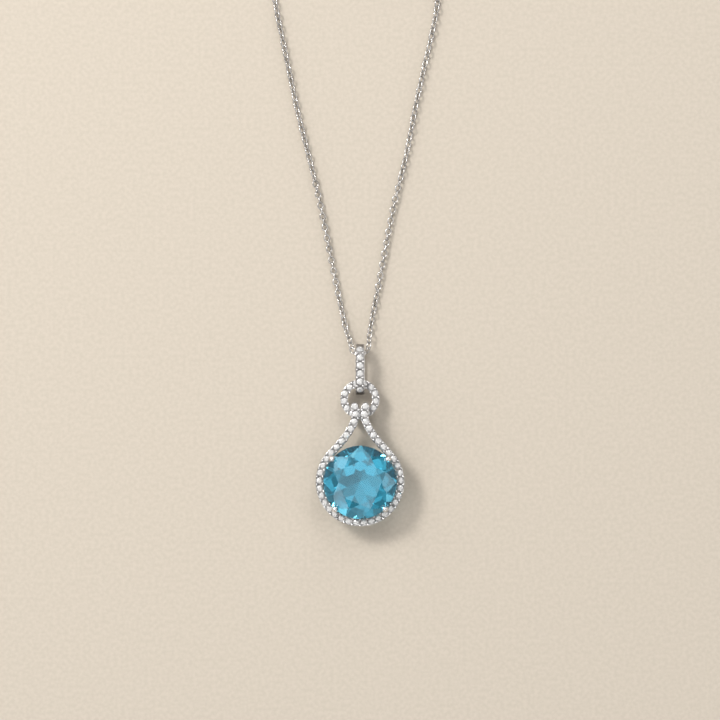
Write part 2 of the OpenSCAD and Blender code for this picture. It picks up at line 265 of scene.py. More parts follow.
# %% [markdown]
# ## The chain
# A cable chain is a row of equal oval wire links, each turned a quarter turn from the last. Every
# link is bent from round wire and soldered shut. The two strands leave the bail, lie on the table
# out past the edge of the picture, and are then wound together into one flat spiral with the
# clasp in its middle. The route's points are the design's own. Each strand is one smooth path,
# and a link is stamped along it at every step of the chain's pitch.

# %% Routes of the two strands
CHAIN_Z = 0.5
LEFT_ROUTE = [
    (0, 11.3, 1.72), (-0.5, 11.3, 1.72), (-0.85, 11.42, 1.7), (-1.15, 11.8, 1.65), (-1.22, 12.3, 1.5),
    (-1.6, 13.5, 1.0), (-2.05, 15, 0.55), (-3.2, 20.3, 0.5), (-4.4, 26.3, 0.5), (-5.6, 32.3, 0.5),
    (-6.8, 37.4, 0.5), (-7.65, 40.7, 0.5), (-8.8, 45.4, 0.5), (-9.8, 50.2, 0.5), (-10.9, 55.5, 0.5),
    (-11.7, 59.5, 0.5), (-12.5, 65, 0.5), (-12.3, 69.5, 0.5), (-11.8, 73.2, 0.5),
]
RIGHT_ROUTE = [
    (0, 11.3, 1.72), (0.5, 11.3, 1.72), (0.85, 11.42, 1.7), (1.15, 11.8, 1.65), (1.22, 12.3, 1.5),
    (1.3, 13.5, 1.0), (1.5, 15, 0.55), (2.5, 20.3, 0.5), (3.6, 26.3, 0.5), (4.7, 31.8, 0.5),
    (6.1, 37.4, 0.5), (6.8, 40.7, 0.5), (7.7, 45.4, 0.5), (8.8, 50.4, 0.5), (9.9, 55.2, 0.5),
    (10.7, 59.5, 0.5), (10.3, 61.2, 0.5), (8.2, 61.9, 0.5), (4, 61.5, 0.5), (0, 61.9, 0.5),
]
COIL_Y = 73.2
STRAND_GAP = 1.0
LEFT_COIL_R = 11.8
COIL_STEP = 6.0
PATH_SPAN = 12


def spiral(first_turn, last_turn, radius, pull_from, pull):
    """Clockwise turns about the coil's middle, in degrees from the left side.

    The radius shrinks by two strands a turn. Past pull_from it also shrinks smoothly by pull, to lead in."""
    q = np.arange(first_turn + COIL_STEP, last_turn + 1, COIL_STEP)
    ease = np.clip((q - pull_from) / (last_turn - pull_from), 0, 1)
    r = radius - 2 * STRAND_GAP * q / 360 - pull * ease * ease * (3 - 2 * ease)
    a = np.radians(q)
    return np.stack([-r * np.cos(a), COIL_Y + r * np.sin(a), np.full(len(q), CHAIN_Z)], -1)


left_coil = spiral(0, 1080, LEFT_COIL_R, pull_from=1000, pull=0.75)
right_coil = spiral(-90, 900, LEFT_COIL_R - STRAND_GAP, pull_from=760, pull=2.5)
left_path = smooth_path(LEFT_ROUTE + left_coil.tolist(), PATH_SPAN)
right_path = smooth_path(RIGHT_ROUTE + right_coil.tolist(), PATH_SPAN)
print("strand lengths in mm:", round(run_of(left_path)[-1], 1), round(run_of(right_path)[-1], 1))

# %% [markdown]
# ## Links
# One link is a wire ring pressed into an oval. For a short way the links lie square, one flat and
# one on edge; elsewhere both strands are twisted an eighth of a turn, so every link leans.

# %% Stamp the links
LINK_L, LINK_W, WIRE = 1.17, 0.94, 0.2
PITCH = LINK_L - 2 * WIRE
LINK_SIDES, WIRE_SIDES = 12, 6
SQUARE_Y, SQUARE_HALF, TWIST_OVER = 27.0, 5.0, 5.0
SLOPE_REACH = 0.3


def oval_link():
    """A ring of wire: an oval middle line at angle q, and a circle of wire swept round it."""
    q = 2 * np.pi * np.arange(LINK_SIDES) / LINK_SIDES
    half_l, half_w = (LINK_L - WIRE) / 2, (LINK_W - WIRE) / 2
    middle = np.stack([half_l * np.cos(q), half_w * np.sin(q), 0 * q], -1)
    side = np.tile([0.0, 0.0, 1.0], (LINK_SIDES, 1))
    return swept(middle, side, ring_profile(WIRE_SIDES, WIRE / 2, WIRE / 2), closed=True)


def link_frames(path, first_roll):
    """Middle, and frame of along, across and up, for each link along a path.

    Roll is a quarter turn more for each link, plus a twist and a little play. The twist is nil where the
    strand lies square, and grows to an eighth of a turn on both sides of there."""
    total = run_of(path)[-1]
    s = np.arange(PITCH / 2, total, PITCH)
    here = along(path, s)
    forward = unit(along(path, s + SLOPE_REACH) - along(path, np.maximum(s - SLOPE_REACH, 0)))
    flat = unit(np.cross(np.array([0, 0, 1.0]), forward))
    up = np.cross(forward, flat)
    twist = np.clip((np.abs(here[:, 1] - SQUARE_Y) - SQUARE_HALF) / TWIST_OVER, 0, 1)
    count = np.arange(len(s))
    roll = np.pi / 2 * (count + first_roll) + np.pi / 4 * twist * twist * (3 - 2 * twist)
    roll = roll + 0.12 * np.sin(1.9 * count) + 0.10 * np.sin(0.73 * count)
    across = np.cos(roll)[:, None] * flat + np.sin(roll)[:, None] * up
    return here, np.stack([forward, across, np.cross(forward, across)], -1)


def strand(name, path, first_roll, node):
    """One strand of links, riding with the chain and standing for its plain solid."""
    places, turns = link_frames(path, first_roll)
    piece = put_mesh(name, *stamp(oval_link(), places, turns), chain_silver)
    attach(piece, "chain")
    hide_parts(*node)
    print(name, len(places), "links")
    return piece


left_strand = strand("left_strand_links", left_path, 0, ["chain_left_run", "chain_coil"])
right_strand = strand("right_strand_links", right_path, 1, ["chain_right_run"])

# %% [markdown]
# ## The clasp
# A spring-ring clasp is a bent tube with a gap. A sliding bolt closes the gap, pushed by a coil
# spring inside the tube, and a thumb lug draws it back. The design's own solids are exact here, so
# they keep their shape and take the metal finish. Only the spring is made again, as a real helix.

# %% Finish the clasp and wind its spring
def give(node, material):
    """Puts a material into every slot of a design node."""
    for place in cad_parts[node].material_slots:
        place.material = material


for node in ("clasp_tube", "clasp_bolt", "clasp_stop", "clasp_eye", "clasp_jump_ring", "end_ring"):
    give(node, rhodium)

CLASP_X, CLASP_R, CLASP_Z = -0.3, 2.2, 1.05
SPRING_FROM, SPRING_TO, SPRING_TURNS = 219.0, 264.5, 9
SPRING_R, SPRING_WIRE, SPRING_STEPS = 0.3, 0.06, 16


def bent_spring():
    """A helix about an arc of the clasp's ring: angle a runs along the arc, and angle p round its line."""
    t = np.linspace(0, 1, SPRING_TURNS * SPRING_STEPS + 1)
    a = np.radians(SPRING_FROM + (SPRING_TO - SPRING_FROM) * t)
    p = 2 * np.pi * SPRING_TURNS * t
    r = CLASP_R + SPRING_R * np.cos(p)
    z = CLASP_Z + SPRING_R * np.sin(p)
    path = np.stack([CLASP_X + r * np.cos(a), COIL_Y + r * np.sin(a), z], -1)
    axis = np.stack([-np.sin(a), np.cos(a), 0 * a], -1)
    return swept(path, axis, ring_profile(WIRE_SIDES, SPRING_WIRE, SPRING_WIRE))


spring = put_mesh("clasp_helix", *bent_spring(), spring_wire)
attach(spring, "chain")
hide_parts("clasp_spring")
print("spring turns:", SPRING_TURNS)

# %% [markdown]
# Both strands leave the bail. The left one ends in the clasp and the right one
# in the ring that the clasp closes on. Their lengths are measured along their own paths.

print("strands: the left one ends in the clasp, the right one in the end ring")

# %% [markdown]
# ## The stones
# Every stone is a round brilliant: a flat table, eight kite-shaped mains and eight stars on the
# crown, paired halves above and below the girdle, and eight mains down to the culet. The cutter
# rounds the girdle first, so each half facet meets it in a shallow scallop. The same recipe cuts
# the 10 mm blue stone and the 0.92 mm white ones.

# %% Cut the brilliants
def corners(count, turn, radius, z):
    """A ring of corners at one radius, turned by an angle in degrees; z is one height or a row of them."""
    q = np.radians(turn + 360 * np.arange(count) / count)
    return np.stack([radius * np.cos(q), radius * np.sin(q), np.zeros(count) + z], -1)


def brilliant(radius, table=0.56, crown=34.0, pavilion=40.5, edge=0.03, culet=0.24):
    """Corners and facets of a round brilliant, its girdle's upper edge at z = 0.

    A star's tip and a lower half's tip lie on the planes of the mains next to them. A girdle corner
    halfway between two others lies on the plane of its half facet, so it sinks, or rises, by the scallop."""
    rise, fall = math.tan(math.radians(crown)), math.tan(math.radians(pavilion))
    mid, half = math.cos(math.radians(22.5)), math.cos(math.radians(11.25))
    table_r, low_r = table * radius, culet * radius
    star_r = (table_r * mid + radius) / 2
    star_z, low_z = (radius - star_r * mid) * rise, (radius - low_r * mid) * fall
    odd_corner = np.arange(32) % 2
    scallop_up = odd_corner * radius * (1 - half) * star_z / ((radius - star_r) * half)
    scallop_down = odd_corner * radius * (1 - half) * low_z / ((radius - low_r) * half)
    verts = np.concatenate([
        corners(8, 0, table_r, (radius - table_r) * rise),
        corners(8, 22.5, star_r, star_z),
        corners(32, 0, radius, -scallop_up),
        corners(32, 0, radius, scallop_down - edge),
        corners(8, 22.5, low_r, -edge - low_z),
        corners(1, 0, 0, -edge - radius * fall),
    ])
    k, j = np.arange(8), np.arange(32)
    t, s, upper, lower, low, tip = k, 8 + k, 16 + j, 48 + j, 80 + k, np.full(8, 88)
    following, before = np.roll(k, -1), np.roll(k, 1)
    g = 4 * k
    stars = np.stack([t, s, t[following]], -1)
    fours = np.concatenate([
        np.stack([t, s[before], upper[g], s], -1),
        np.stack([s, upper[g], upper[g + 1], upper[g + 2]], -1),
        np.stack([s, upper[g + 2], upper[g + 3], upper[(g + 4) % 32]], -1),
        np.stack([upper, lower, np.roll(lower, -1), np.roll(upper, -1)], -1),
        np.stack([low, lower[g + 2], lower[g + 1], lower[g]], -1),
        np.stack([low, lower[(g + 4) % 32], lower[g + 3], lower[g + 2]], -1),
        np.stack([tip, low, lower[g], low[before]], -1),
    ])
    return verts, [t[None, :], stars, fours]


MELEE_R = 0.46
BLUE_R, BLUE_EDGE, GIRDLE_TOP = 5.0, 0.24, 5.02
small_cut = brilliant(MELEE_R)
blue_cut = brilliant(BLUE_R, table=0.59, crown=33.0, pavilion=41.0, edge=BLUE_EDGE, culet=0.5)
print("facets on a stone:", sum(len(f) for f in small_cut[1]))

# %% [markdown]
# ## Gem materials
# A stone is clear all through. Its colour comes from what its body absorbs, so a long path is
# deeper in colour than a short one, and the facets break it into light and dark patches.
# The polish is perfect, and only the tint of the faces drifts a little. The small stones are
# given a higher index and are part opaque, so that they read as white sparks at their size.

# %% Gem materials
TINT_SCALE = 420


def gem(name, tint_low, tint_high, index, clear, body=None, density=0.0):
    """A stone: a surface tint that drifts, how clear it is, and an absorbing body if it has a colour."""
    material, tree, shader = new_material(name)
    shader.inputs["Transmission Weight"].default_value = clear
    shader.inputs["Roughness"].default_value = 0.0
    shader.inputs["IOR"].default_value = index
    tint = ramp(tree, noise(tree, TINT_SCALE, 2.0), tint_low, tint_high, 0.3, 0.7)
    tree.links.new(tint, shader.inputs["Base Color"])
    if body:
        inside = tree.nodes.new("ShaderNodeVolumeAbsorption")
        inside.inputs["Color"].default_value = (*body, 1)
        inside.inputs["Density"].default_value = density
        tree.links.new(inside.outputs["Volume"], tree.nodes["Material Output"].inputs["Volume"])
    return material


blue_gem = gem("blue_gem", (0.84, 0.96, 0.99), (0.92, 0.99, 1.0), index=1.62, clear=1.0,
               body=(0.09, 0.67, 0.79), density=250.0)
clear_gem = gem("clear_gem", (0.94, 0.94, 0.96), (1.0, 1.0, 1.0), index=2.9, clear=0.60)
print("gems:", blue_gem.name, clear_gem.name)

# %% Place the blue stone
def middle_of(node):
    """The middle of a design node's box, in millimetres."""
    low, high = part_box(node)
    return (np.array(low) + np.array(high)) / 2 / MM


STONE_Y = float(middle_of("centre_stone")[1])
blue_corners = blue_cut[0] + [0, STONE_Y, GIRDLE_TOP]
blue_stone = put_mesh("blue_stone", blue_corners, blue_cut[1], blue_gem, smooth=False)
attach(blue_stone, "drop")
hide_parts("centre_stone")
print("blue stone's middle in mm:", (0, round(STONE_Y, 2), GIRDLE_TOP))

# %% [markdown]
# ## Set bands
# The halo with its arms, the ring and the bail are all made the same way: a narrow band with a row
# of stones let into its outer face. The setter drills a seat for each stone, cuts the edge back
# beside it, and pushes up two beads of metal in the gap between neighbours to hold both. So one
# helper makes all three bands. A band is given by its outer line, its inner line, the direction
# across it and the places of its stones.

# %% The set band
SEAT_R, SEAT_SLOPE, SEAT_DEEP = 0.475, 0.8, 0.42
SCALLOP = 0.05
TOP = np.linspace(-0.86, 0.86, 15)
WALL = np.array([
    (0.95, 0.02), (1.0, 0.09), (1.0, 0.3), (0.97, 0.55),
    (0.94, 0.8), (0.88, 0.93), (0.76, 1.0), (0.4, 1.0),
])
BAND_A = np.concatenate([TOP, WALL[:, 0], -WALL[::-1, 0]])
BAND_B = np.concatenate([0 * TOP, WALL[:, 1], WALL[::-1, 1]])


def share_between(outer, places, closed):
    """How far each station is through the row of stones: whole numbers are stones, halves are gaps."""
    nearest = np.array([np.argmin(np.linalg.norm(outer - p, axis=1)) for p in places])
    order = np.argsort(nearest)
    stations, total = np.arange(len(outer)), len(outer)
    at = nearest[order].astype(float)
    count = np.arange(len(at), dtype=float)
    if closed:
        at = np.concatenate([at[-1:] - total, at, at[:1] + total])
        count = np.concatenate([[-1.0], count, [float(len(places))]])
    return np.interp(stations, at, count)


def set_band(outer, inner, across, half_w, places, closed=False, reach=None):
    """A band with drilled seats, scalloped between its beads.

    Corner (i, j) is outer[i] + b[j] (inner[i] - outer[i]) + a[j] w[i] across[i]. The width w swells by
    a cosine between stones, and a corner on the outer face sinks in a cone about the nearest stone."""
    share = share_between(outer, places, closed)
    near = np.ones(len(outer)) if reach is None else reach
    width = half_w * (1 - SCALLOP * near * np.cos(2 * np.pi * share))
    depth = inner - outer
    verts = outer[:, None] + BAND_B[None, :, None] * depth[:, None]
    verts = verts + (BAND_A[None, :] * width[:, None])[..., None] * across[:, None]
    gap = np.linalg.norm(verts[:, :len(TOP), None] - places[None, None], axis=-1).min(-1)
    sink = np.clip((SEAT_R - gap) * SEAT_SLOPE, 0, SEAT_DEEP)
    verts[:, :len(TOP)] += sink[..., None] * unit(depth)[:, None]
    rows, cols = len(outer), len(BAND_A)
    faces = [grid_quads(rows, cols, closed)]
    if not closed:
        ends = np.arange(cols)
        faces.append(np.stack([ends[::-1], ends + (rows - 1) * cols]))
    return verts.reshape(-1, 3), faces


def paint_seat_shade(piece, first, last):
    """The drilled face takes the dark painted seat shade: the top columns of the grid, from station first to
    last.
    """
    cols = len(BAND_A)
    finish = np.zeros(len(piece.data.polygons), dtype=np.int32)
    # painted shade: the faces in the seats take the dark metal that stands in for their shadow
    finish[first * cols:last * cols] = np.tile(np.arange(cols) < len(TOP) - 1, last - first)
    piece.data.materials.append(seat_shade_metal)
    piece.data.polygons.foreach_set("material_index", finish)


def bead(radius, rings=5, around=10):
    """A bead of metal pushed up by the graver: a ball with rings at even angles from pole to pole."""
    lat = np.pi * (np.arange(1, rings) / rings - 0.5)
    q = 2 * np.pi * np.arange(around) / around
    flat, high = np.cos(lat)[:, None], np.sin(lat)[:, None]
    shell = np.stack([flat * np.cos(q), flat * np.sin(q), high + 0 * q], -1).reshape(-1, 3)
    verts = radius * np.concatenate([shell, [[0, 0, -1.0], [0, 0, 1.0]]])
    a, b = np.arange(around), np.roll(np.arange(around), -1)
    south, last_row = np.full(around, len(shell)), (rings - 2) * around
    north_cap = np.stack([a + last_row, b + last_row, south + 1], -1)
    caps = np.concatenate([np.stack([b, a, south], -1), north_cap])
    return verts, [grid_quads(rings - 1, around)[:, ::-1], caps]


def frames_at(forward, normal):
    """3x3 frames whose columns are along the band, across it, and out of its face."""
    forward, normal = unit(forward), unit(normal)
    return np.stack([forward, np.cross(normal, forward), normal], -1)


BEAD_R = 0.18


def bead_places(places, normals, across, gaps, offset=0.40, lift=0.07):
    """Two beads for each gap (i, j) between stones: halfway, offset to each side, and above the face."""
    i, j = np.array(gaps).T
    middle = (places[i] + places[j]) / 2
    out = unit(normals[i] + normals[j])
    side = unit(across[i] + across[j])
    spots = [middle + lift * out + sign * offset * side for sign in (-1, 1)]
    frames = frames_at(np.cross(side, out), out)
    return np.concatenate(spots), np.concatenate([frames, frames])


print("corners across a band:", len(BAND_A))

# %% [markdown]
# ## The drop's frame
# The halo runs round the stone and opens at the top into two arms. They meet at a neck, flare, and
# end in loops that pass behind the ring, so the drop swings on them. It is one casting. The line of
# its stones is an arc about the stone's middle, and each arm is two Bezier curves.

# %% Lines of the drop
FRAME_TOP, FRAME_LOW = 4.0, 2.5
HALO_R, HALO_COUNT, HALO_STEP = 5.55, 24, 10.83
ARM_EXIT, ARM_COUNT, ARM_FIRST = 140.0, 8, 0.52
HINGE_Z, HOOK_Y = 1.75, 2.85
ARM_LIFT_R, ARM_NOSE_R = 1.14, 2.5
ARM_PULL = 1.6
BAND_HALF = 0.545


def bezier(a, b, c, d, count):
    """A cubic Bezier curve from a to d that leaves towards b and arrives from c."""
    t = np.linspace(0, 1, count)[:, None]
    a, b, c, d = (np.array(p, float) for p in (a, b, c, d))
    return (1 - t) ** 3 * a + 3 * t * (1 - t) ** 2 * b + 3 * t * t * (1 - t) * c + t ** 3 * d


def arm_line():
    """The left arm's stone line about the stone's middle, from the halo to the tip."""
    q = math.radians(ARM_EXIT)
    start = np.array([HALO_R * math.cos(q), HALO_R * math.sin(q)])
    pull = start + ARM_PULL * np.array([math.sin(q), -math.cos(q)])
    low = bezier(start, pull, (-1.0, 6.9), (-0.58, 9.0), 60)
    high = bezier((-0.58, 9.0), (-0.53, 9.45), (-0.62, 9.9), (-0.75, 10.35), 20)
    return np.concatenate([low, high[1:]])


arm = arm_line()
arm_run = run_of(arm)[-1]
arm_stones = along(arm, ARM_FIRST + (arm_run - ARM_FIRST) * np.arange(ARM_COUNT) / (ARM_COUNT - 1))
halo_q = np.radians(270 + (np.arange(HALO_COUNT) - (HALO_COUNT - 1) / 2) * HALO_STEP)
halo_stones = HALO_R * np.stack([np.cos(halo_q), np.sin(halo_q)], -1)
mirror_x = np.array([-1.0, 1.0])
row = np.concatenate([arm_stones[::-1], halo_stones, arm_stones * mirror_x])
drop_places = np.concatenate([row + [0, STONE_Y], np.full((len(row), 1), FRAME_TOP)], -1)
print("stones on the drop:", len(drop_places), "arm length in mm:", round(float(arm_run), 2))

# %% Cast the drop's frame
END_R = BAND_HALF
HALO_STATIONS, BODY_STATIONS, CAP_STATIONS = 400, 800, 8
CAP_START = 0.12


def drop_line():
    """The line from one arm's tip, round the halo, to the other's, and half a band's width past each tip.

    Near each end the stations are the cosines of even angles, so that the end can be rounded."""
    q = np.radians(np.linspace(ARM_EXIT, 540 - ARM_EXIT, HALO_STATIONS))
    halo = HALO_R * np.stack([np.cos(q), np.sin(q)], -1)
    tip = arm[-1] + END_R * (arm[-1] - arm[-2]) / np.linalg.norm(arm[-1] - arm[-2])
    left = np.concatenate([arm, tip[None]])
    line = np.concatenate([left[::-1], halo[1:-1], left * mirror_x])
    total = run_of(line)[-1]
    body = np.linspace(END_R, total - END_R, BODY_STATIONS)
    cap = END_R * (1 - np.cos(np.linspace(CAP_START, np.pi / 2, CAP_STATIONS)))[:-1]
    return along(line, np.concatenate([cap, body, total - cap[::-1]])), cap


def drop_band():
    """The drop's band: flat on top, hollowed under the ring by one cylinder and nosed off by another."""
    line, cap = drop_line()
    y = line[:, 1] + STONE_Y
    over = np.sqrt(np.clip(ARM_LIFT_R ** 2 - (y - HOOK_Y) ** 2, 0, None))
    under = np.maximum(FRAME_LOW, HINGE_Z + over)
    nose = HINGE_Z + np.sqrt(np.clip(ARM_NOSE_R ** 2 - np.clip(y - HOOK_Y, 0, None) ** 2, 0, None))
    top = np.minimum(FRAME_TOP, nose)
    outer = np.stack([line[:, 0], y, top], -1)
    inner = np.stack([line[:, 0], y, under], -1)
    forward = np.gradient(outer, axis=0) * [1, 1, 0]
    across = unit(np.cross([0, 0, 1.0], forward))
    round_end = np.sqrt(1 - (1 - cap / END_R) ** 2)
    half_w = BAND_HALF * np.concatenate([round_end, np.ones(len(line) - 2 * len(cap)), round_end[::-1]])
    return set_band(outer, inner, across, half_w, drop_places)


HOOK_X, HOOK_W, HOOK_IN, HOOK_OUT = 0.75, 0.6, 1.0, 1.44
HOOK_STATIONS = 64


def hook(x):
    """A loop about the hinge line: a circle in the YZ plane with a soft square section."""
    q = 2 * np.pi * np.arange(HOOK_STATIONS) / HOOK_STATIONS
    r = (HOOK_IN + HOOK_OUT) / 2
    path = np.stack([0 * q + x, HOOK_Y + r * np.cos(q), HINGE_Z + r * np.sin(q)], -1)
    side = np.tile([1.0, 0.0, 0.0], (HOOK_STATIONS, 1))
    section = ring_profile(20, HOOK_W / 2, (HOOK_OUT - HOOK_IN) / 2, 0.65)
    return swept(path, side, section, closed=True)


drop_frame = put_mesh("halo_casting", *join_parts([drop_band(), hook(-HOOK_X), hook(HOOK_X)]), rhodium)
# the drop's seats are painted dark, as shade between the stones
paint_seat_shade(drop_frame, 0, len(drop_line()[0]) - 1)
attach(drop_frame, "drop")
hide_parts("drop_frame")
print("frame faces:", len(drop_frame.data.polygons))

# %% [markdown]
# ## Stones and beads of the drop
# Each stone is turned a little differently in its seat, as a setter drops it in, so neighbours
# don't flash together. The beads go in pairs between neighbours.

# %% Set the drop
def turned_stones(places, normals, forward):
    """The small cut stamped at each place, turned about its own axis by a different angle each time."""
    frames = frames_at(forward, normals)
    count = np.arange(len(places))
    q = 0.9 * count + 0.35 * np.sin(2.3 * count)
    spin = np.zeros((len(places), 3, 3))
    spin[:, 0, 0], spin[:, 0, 1] = np.cos(q), -np.sin(q)
    spin[:, 1, 0], spin[:, 1, 1] = np.sin(q), np.cos(q)
    spin[:, 2, 2] = 1
    return stamp(small_cut, places, frames @ spin)


def set_row(name, body, places, normals, across, gaps, nodes):
    """The stones and the beads of one band, as two pieces on its body."""
    forward = np.cross(across, normals)
    cuts = turned_stones(places, normals, forward)
    stones = put_mesh(name + "_stones", *cuts, clear_gem, smooth=False)
    balls = stamp(bead(BEAD_R), *bead_places(places, normals, across, gaps))
    beads = put_mesh(name + "_beads", *balls, rhodium)
    for piece, slot in ((stones, "clear_stone"), (beads, "white_metal")):
        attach(piece, body)
    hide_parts(*nodes)
    print(name, len(places), "stones", 2 * len(gaps), "beads")


def flat_across(places):
    """The direction across a flat row of stones, from each one's neighbours."""
    return unit(np.cross([0, 0, 1.0], np.gradient(places, axis=0)))


UP = np.array([0, 0, 1.0])
drop_normals = np.tile(UP, (len(drop_places), 1))
drop_gaps = [(i, i + 1) for i in range(len(drop_places) - 1)]
set_row("drop", "drop", drop_places, drop_normals, flat_across(drop_places), drop_gaps,
        ["halo_stones", "arm_stones"])

# %% [markdown]
# ## The ring
# The ring is the same band bent into a full circle. It hangs in the bail and holds the hooks.

# %% Make and set the ring
RING_Y, RING_R, RING_COUNT = 4.9, 2.2, 13
RING_TOP, RING_LOW, RING_HALF = 2.3, 1.2, 0.51
RING_STATIONS = 300
ring_q = np.radians(90 + 360 * (np.arange(RING_COUNT) + 0.5) / RING_COUNT)


def circle_at(q, z):
    """Points of the ring's middle line at angles q and one height."""
    return np.stack([RING_R * np.cos(q), RING_Y + RING_R * np.sin(q), np.full(len(q), z)], -1)


def ring_band():
    """The ring's band: a circle of stations, each with its direction across pointing to the middle."""
    q = 2 * np.pi * np.arange(RING_STATIONS) / RING_STATIONS
    across = -np.stack([np.cos(q), np.sin(q), 0 * q], -1)
    outer, inner = circle_at(q, RING_TOP), circle_at(q, RING_LOW)
    half_w = np.full(RING_STATIONS, RING_HALF)
    return set_band(outer, inner, across, half_w, ring_places, closed=True)


ring_places = circle_at(ring_q, RING_TOP)
ring_link = put_mesh("ring_link", *ring_band(), rhodium)
# the ring's seats are painted dark, as shade between the stones
paint_seat_shade(ring_link, 0, RING_STATIONS)
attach(ring_link, "ring")
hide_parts("ring_band")
ring_across = -np.stack([np.cos(ring_q), np.sin(ring_q), 0 * ring_q], -1)
ring_normals = np.tile(UP, (RING_COUNT, 1))
ring_gaps = [(i, (i + 1) % RING_COUNT) for i in range(RING_COUNT)]
set_row("ring", "ring", ring_places, ring_normals, ring_across, ring_gaps, ["ring_stones"])

# %% [markdown]
# ## The bail
# The bail is a long loop that stands on edge, so from the front it shows as one narrow bar. Its
# outside is a racetrack shape and its slot a smaller one. Six stones run up the front bar, and the
# first and last lean over the rounded ends.

# %% Make and set the bail
BAIL_LOW_Y, BAIL_HIGH_Y, BAIL_TOP = 5.5, 12.5, 3.6
BAIL_END, SLOT_R, BAIL_HALF = 0.6, 0.975, 0.61
BAIL_COUNT, BAIL_STEP, BAIL_LEAN = 6, 1.1, 38.0
BAIL_STATIONS = 70


def racetrack(low_y, high_y, radius, z, stations):
    """A racetrack in the YZ plane: a half circle, a straight front, a half circle and a straight back.

    Each part has the same number of stations on every racetrack, so that two can be paired."""
    q = np.radians(np.linspace(-90, 90, stations))
    bar = np.linspace(0, 1, stations + 2)[1:-1]
    a, b = low_y + radius, high_y - radius
    c, s = radius * np.cos(q), radius * np.sin(q)
    y = np.concatenate([a - c, a + (b - a) * bar, b + c, b - (b - a) * bar])
    z = z + np.concatenate([s, 0 * bar + radius, -s, 0 * bar - radius])
    return np.stack([0 * y, y, z], -1)


half_h = BAIL_TOP / 2
bail_outer = racetrack(BAIL_LOW_Y, BAIL_HIGH_Y, half_h, half_h, BAIL_STATIONS)
bail_inner = racetrack(BAIL_LOW_Y + BAIL_END, BAIL_HIGH_Y - BAIL_END, SLOT_R, HINGE_Z, BAIL_STATIONS)
BAIL_MID_Y = (BAIL_LOW_Y + BAIL_HIGH_Y) / 2
lean = np.radians([-BAIL_LEAN, 0, 0, 0, 0, BAIL_LEAN])
bail_normals = np.stack([0 * lean, np.sin(lean), np.cos(lean)], -1)
flat_y = BAIL_MID_Y + (np.arange(BAIL_COUNT) - (BAIL_COUNT - 1) / 2) * BAIL_STEP
end_y = np.array([BAIL_LOW_Y + half_h, *flat_y[1:-1], BAIL_HIGH_Y - half_h])
bail_places = np.stack([0 * lean, end_y, 0 * lean + half_h], -1) + half_h * bail_normals
bail_across = np.tile([1.0, 0.0, 0.0], (len(bail_outer), 1))
bail_width = np.full(len(bail_outer), BAIL_HALF)
in_front = np.clip((bail_outer[:, 2] - half_h) / (0.6 * half_h), 0, 1)

bail_shape = set_band(bail_outer, bail_inner, bail_across, bail_width, bail_places, True, in_front)
bail = put_mesh("bail_strap", *bail_shape, rhodium)
in_sight = np.flatnonzero(bail_outer[:, 2] > half_h)
# the bail's seats are painted dark, as shade between the stones
paint_seat_shade(bail, in_sight[0], in_sight[-1])
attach(bail, "bail")
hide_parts("bail_loop")
bail_gaps = [(i, i + 1) for i in range(BAIL_COUNT - 1)]
set_row("bail", "bail", bail_places, bail_normals, bail_across[:BAIL_COUNT], bail_gaps, ["bail_stones"])

# %% [markdown]
# ## The basket
# Four claw wires rise from a flat rail at the back, pass a gallery rail and close over the stone's
# edge. A claw is a drawn wire, thicker at its head, which the setter files round and burnishes
# down. The rails are turned rings with softened edges.

# %% Make the claws and the rails
CLAW_TURNS = (40, 140, 226.7, 313.3)
CLAW_LINE = [
    (3.05, 0.35), (3.2, 0.8), (3.75, 2.0), (4.3, 3.1), (4.78, 4.1),
    (4.98, 4.6), (5.04, 4.95), (4.98, 5.22), (4.84, 5.4), (4.7, 5.47),
]
CLAW_SIZE = [0.34, 0.34, 0.33, 0.33, 0.34, 0.38, 0.43, 0.45, 0.40, 0.22]
CLAW_CLOSE = [(-0.05, 0.02, -0.08), (-0.09, 0.03, -0.17)]
CLAW_SPAN, CLAW_SIDES, CLAW_TIP = 6, 18, 0.02
RAIL_STATIONS, RAIL_SIDES = 96, 24


def claw(turn):
    """A wire swept up a curve in the upright plane at one angle, and closed to a small round head."""
    line = smooth_path([(r, z, size) for (r, z), size in zip(CLAW_LINE, CLAW_SIZE)], CLAW_SPAN)
    line = np.concatenate([line, line[-1] + np.array(CLAW_CLOSE)])
    q = math.radians(turn)
    path = np.stack([line[:, 0] * math.cos(q), STONE_Y + line[:, 0] * math.sin(q), line[:, 1]], -1)
    side = np.tile([-math.sin(q), math.cos(q), 0.0], (len(path), 1))
    return swept(path, side, ring_profile(CLAW_SIDES, 1, 1), np.maximum(line[:, 2], CLAW_TIP))


def rail(low_r, high_r, low_z, high_z):
    """A turned ring about the stone's axis: a soft-edged oblong section carried round a circle."""
    q = 2 * np.pi * np.arange(RAIL_STATIONS) / RAIL_STATIONS
    r = (low_r + high_r) / 2
    z = np.full(RAIL_STATIONS, (low_z + high_z) / 2)
    path = np.stack([r * np.cos(q), STONE_Y + r * np.sin(q), z], -1)
    side = np.stack([np.cos(q), np.sin(q), 0 * q], -1)
    section = ring_profile(RAIL_SIDES, (high_r - low_r) / 2, (high_z - low_z) / 2, 0.5)
    return swept(path, side, section, closed=True)


claws = put_mesh("claws", *join_parts([claw(turn) for turn in CLAW_TURNS]), rhodium)
gallery = put_mesh("gallery_rail", *rail(3.35, 4.15, 2.0, 2.6), basket_metal)
back_rail = put_mesh("back_rail", *rail(2.6, 3.5, 0.0, 0.6), basket_metal)
for piece, node in ((claws, "claw_prongs"), (gallery, "upper_rail"), (back_rail, "base_rail")):
    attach(piece, "drop")
    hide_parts(node)
print("basket: 4 claws, 2 rails")

# %% [markdown]
# ## The table it lies on
# The floor is plain and pale, with a very fine grain so that it isn't a dead colour.

# %% Floor
TABLE_HALF = 400.0
GRAIN_SCALE = 1900


